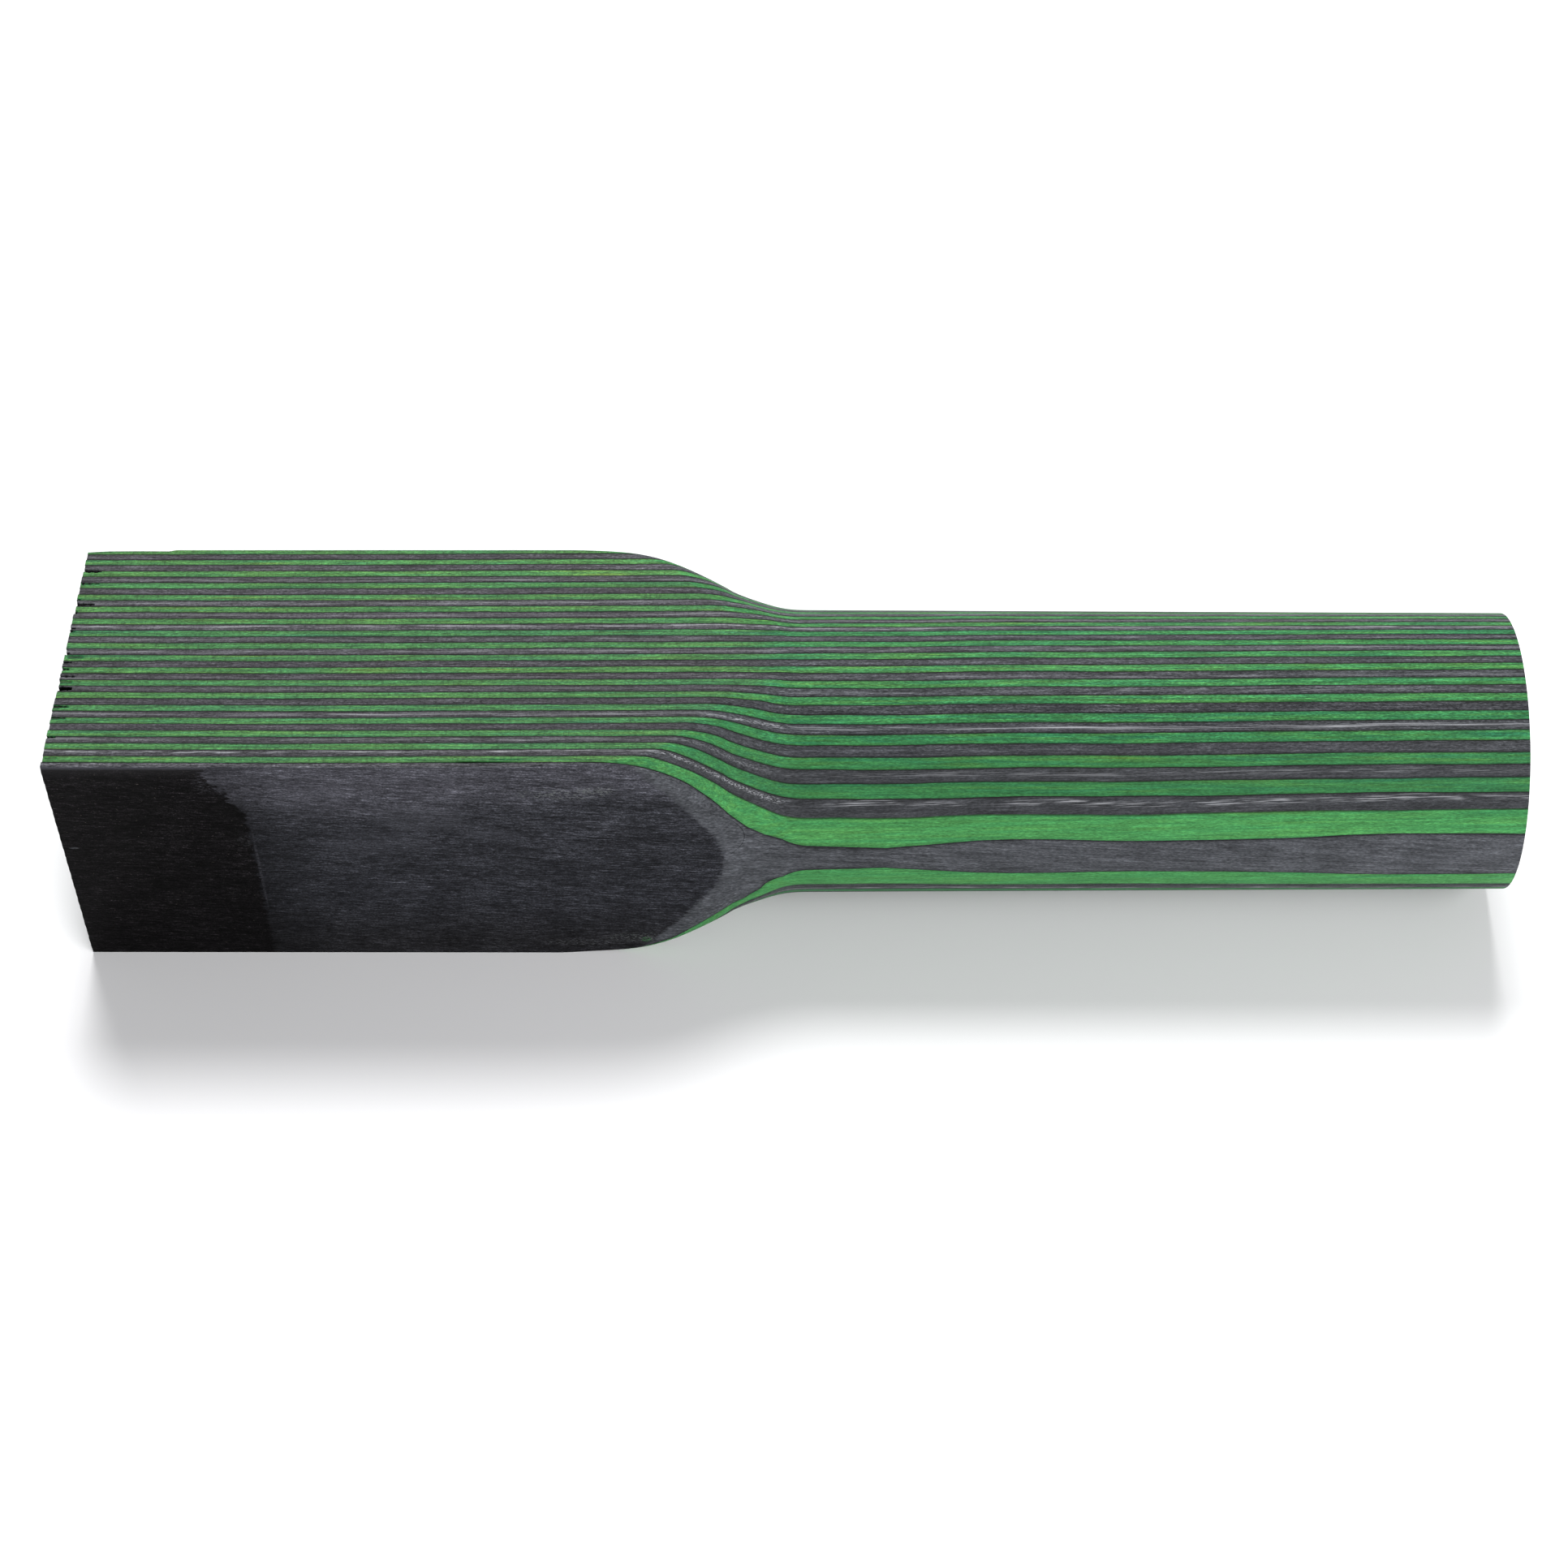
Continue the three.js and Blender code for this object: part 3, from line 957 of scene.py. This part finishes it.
# Scuffs on the front face: middle X and Z, half lengths, strength, evenness, screen tone
SCUFFS = (
    (-39.0, 43.8, 9.0, 1.6, 0.8, 0.03, (124, 128, 128)),
    (-33.5, 45.0, 4.0, 0.9, 0.8, 0.06, (124, 128, 128)),
    (-27.0, 4.6, 8.0, 1.5, 0.8, 0.05, (104, 108, 108)),
    (-38.0, 3.2, 8.0, 1.0, 0.7, 0.05, (90, 92, 94)),
    (-26.6, 4.0, 1.0, 0.8, 0.8, 0.1, (62, 116, 68)),
    (-100.0, 46.4, 2.2, 2.6, 0.5, 0.05, (80, 80, 86)),
    (-95.0, 31.5, 1.4, 1.8, 0.7, 0.04, (70, 70, 74)),
    (-93.4, 24.0, 0.3, 12.0, 0.5, 0.2, (70, 70, 76)),
    (-125.0, 29.5, 1.0, 0.25, 0.8, 0.3, (84, 86, 90)),
    (-72.0, 31.0, 11.0, 4.0, 0.25, 0.3, (76, 77, 84)),
    (-82.0, 41.0, 8.0, 4.0, 0.15, 0.3, (90, 90, 98)),
    (-52.0, 33.0, 6.0, 1.5, 0.3, 0.3, (76, 77, 84)),
    (-64.0, 37.5, 9.0, 4.0, 0.3, 0.3, (86, 87, 94)),
)


class Face(Wood):
    """The front veneer. Outside the turned ring, it still has its darker skin, with the marks of
    handling on it."""

    bare = seen(76, 76, 83, FRONT_LIGHT)

    def face_noise(self, along, upward, offset, detail=2.0, roughness=0.6):
        return self.noise(self.grain(along, FLAT, upward, offset), detail, roughness)

    def skin(self):
        """1 on the skin, which ends at a rounded line, where the shoulder was sanded into it."""
        up = self.div(self.sub(self.z, SKIN_END_Z), SKIN_BEND)
        bow = self.math("SQRT", self.add(self.mul(up, up), 1.0))
        line = self.sub(SKIN_END_X + SKIN_BOW, self.mul(bow, SKIN_BOW))
        ragged = self.face_noise(1.6, 0.5, 1.0, 3.0, 0.7)
        line = self.add(line, self.between(-0.7, 0.7, ragged))
        return self.step(self.sub(line, self.x), -0.6, 0.6)

    def stained(self, fibres, above):
        """The skin's stain, darkest at the base; above is how far points lie over its upper end."""
        base, middle, top = (seen(*tone, FRONT_LIGHT)
                             for tone in ((37, 37, 40), (45, 46, 51), (50, 51, 56)))
        dark = self.ramp(self.div(self.z, HEIGHT), (0.08, base), (0.3, middle), (0.8, top))
        colour = self.mix(self.step(above, *STAIN_FADE), dark, self.bare)
        softer = self.between(1.0, 0.7, above, *STAIN_FADE)
        softer = self.mul(self.sub(fibres, 1.0), softer)
        colour = self.times(colour, self.add(softer, 1.0))
        dashes = self.step(self.face_noise(1.3, 0.17, 37.0), 0.36, 0.43)
        colour = self.times(colour, self.between(0.5, 1.0, dashes, 0.0, 1.0))
        cloudy = self.face_noise(13.0, 8.0, 31.0, 2.0, 0.5)
        return self.times(colour, self.between(0.88, 1.12, cloudy))

    def held(self, colour, fibres):
        """Near black where the blank was held, up to a line that leans over towards the top."""
        corner = self.math("MAXIMUM", self.sub(self.z, HELD_LEANS_Z), 0.0)
        corner = self.mul(corner, HELD_SLOPE)
        past = self.add(self.add(self.x, -HELD_X), corner)
        mottled = self.between(-1.0, 1.0, self.face_noise(3.0, 1.0, 8.0, 3.0, 0.7), 0.35, 0.65)
        past = self.add(past, self.mul(mottled, self.add(self.mul(corner, 0.3), 0.5)))
        colour = self.times(colour, self.between(0.4, 1.0, past, 0.0, 12.0))
        film = self.times(self.times(seen(8, 7, 8, FRONT_LIGHT), fibres), fibres)
        rim = self.mul(self.step(self.z, 47.5, 50.2), 0.4)
        film = self.mix(rim, film, seen(45, 44, 46, FRONT_LIGHT))
        film = self.mix(self.mul(self.step(self.z, 49.9, 50.7), 0.8), film, self.bare)
        specks = self.step(self.face_noise(0.5, 0.4, 5.0, 2.0, 0.7), 0.68, 0.76)
        film = self.mix(self.mul(specks, 0.9), film, seen(96, 90, 86))
        return self.mix(self.step(past, 0.5, -0.3), colour, film)

    def spot(self, x, z, across, up, even):
        """A patch round (x, z), with its half lengths, broken up the more the smaller even is."""
        far_x, far_z = self.div(self.sub(self.x, x), across), self.div(self.sub(self.z, z), up)
        far = self.math("SQRT", self.add(self.mul(far_x, far_x), self.mul(far_z, far_z)))
        rough = self.face_noise(0.7, 0.22, x, 3.0, 0.7)
        return self.mul(self.step(far, 1.1, 0.6), self.step(rough, 0.57 - even, 0.63))

    def scuffed(self, colour):
        for x, z, across, up, share, even, tone in SCUFFS:
            patch = self.mul(self.spot(x, z, across, up, even), share)
            colour = self.mix(patch, colour, seen(*tone, FRONT_LIGHT))
        return colour

    def crack(self, forward):
        above = self.sub(self.z, CRACK_MIDDLE_Z)
        place = self.add(self.x, self.mul(self.mul(above, above), CRACK_BOW))
        return self.mul(self.inside(place, CRACK_X - CRACK_HALF, CRACK_X + CRACK_HALF, 0.05),
                        self.mul(self.inside(self.z, *CRACK_Z, 0.3), forward))


def front_wood():
    w = Face("dyed_charcoal_face")
    colour, height = charcoal(w)
    forward = w.step(w.facing[1], -0.5, -0.75)
    fibres = w.varied((9.0, FLAT, 3.0, 0.14), (6.0, FLAT, 0.3, 0.28), (1.6, FLAT, 0.22, 0.42),
                      (0.35, FLAT, 0.18, 0.4), calmer=False)
    clouds = w.face_noise(12.0, 6.0, 2.0, 3.0)
    line = w.add(w.between(*STAIN_Z, w.x, *STAIN_X), w.between(-2.5, 2.5, clouds))
    skin = w.held(w.stained(fibres, w.sub(w.z, line)), fibres)
    colour = w.mix(w.mul(w.skin(), forward), colour, w.scuffed(skin))
    colour = w.darker(colour, w.crack(forward), 0.6)
    return w.finished(w.pit_shade_and_kerf(colour), height, 0.55, 0.04)


# The scene

CAMERA_PLACE = (3.645, -364.5, 436.7)
CAMERA_PITCH, CAMERA_YAW, CAMERA_ROLL = 49.046, 0.876, -0.625
CAMERA_LENS = 70.12
SENSOR = 36.0
FLOOR_HALF = 3.0
WORLD_LIGHT = 0.2
# Lamps: shape, place, size and power
LAMPS = {
    "high": ("ELLIPSE", (-0.114, 1.31, 2.01), (1.14, 1.14), 72.0),
    "front_fill": ("RECTANGLE", (0.55, -0.66, 0.60), (1.0, 0.6), 10.6),
}


def add_camera():
    pitch, yaw, roll = (math.radians(a) for a in (CAMERA_PITCH, CAMERA_YAW, CAMERA_ROLL))
    turn = Matrix.Rotation(yaw, 3, "Z") @ Matrix.Rotation(math.pi / 2 - pitch, 3, "X")
    turn = turn @ Matrix.Rotation(roll, 3, "Z")
    data = bpy.data.cameras.new("camera")
    data.lens, data.sensor_width = CAMERA_LENS, SENSOR
    camera = linked("camera", data)
    camera.matrix_world = Matrix.Translation([v * MM for v in CAMERA_PLACE]) @ turn.to_4x4()
    bpy.context.scene.camera = camera


def add_light(name, shape, place, size, power):
    """A soft lamp that points at the middle of the blank's base."""
    data = bpy.data.lights.new(name, "AREA")
    data.shape = shape
    data.size, data.size_y = size
    data.energy = power
    turn = Vector(place).to_track_quat("Z", "Y").to_matrix().to_4x4()
    linked(name, data).matrix_world = Matrix.Translation(place) @ turn


def add_floor():
    looks = {"Base Color": (0.86, 0.86, 0.87, 1.0), "Roughness": 0.9}
    material = Shader("pale_floor").surface(0.1, looks)
    corners = [(x * FLOOR_HALF, y * FLOOR_HALF, 0)
               for x, y in ((-1, -1), (1, -1), (1, 1), (-1, 1))]
    mesh = bpy.data.meshes.new("floor")
    mesh.from_pydata(corners, [], [(0, 1, 2, 3)])
    mesh.materials.append(material)
    linked("floor", mesh)


def light_scene():
    world = bpy.data.worlds.new("studio")
    world.use_nodes = True
    background = world.node_tree.nodes["Background"]
    background.inputs["Color"].default_value = (1.0, 1.0, 1.02, 1.0)
    background.inputs["Strength"].default_value = WORLD_LIGHT
    bpy.context.scene.world = world
    bpy.context.scene.view_settings.view_transform = "Standard"
    for name, lamp in LAMPS.items():
        add_light(name, *lamp)


add_camera()
light_scene()
add_floor()
DYED = {"green": green_wood(), "charcoal": charcoal_wood()}
FACE = front_wood()
for number in range(1, VENEER_COUNT + 1):
    dye = "charcoal" if number % 2 else "green"
    node = f"veneer_{number:02d}_{dye}"
    piece = veneer_mesh(number, f"{node}_sheet")
    piece.data.materials.append(FACE if number == 1 else DYED[dye])
    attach(piece, "root")
    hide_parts(node)
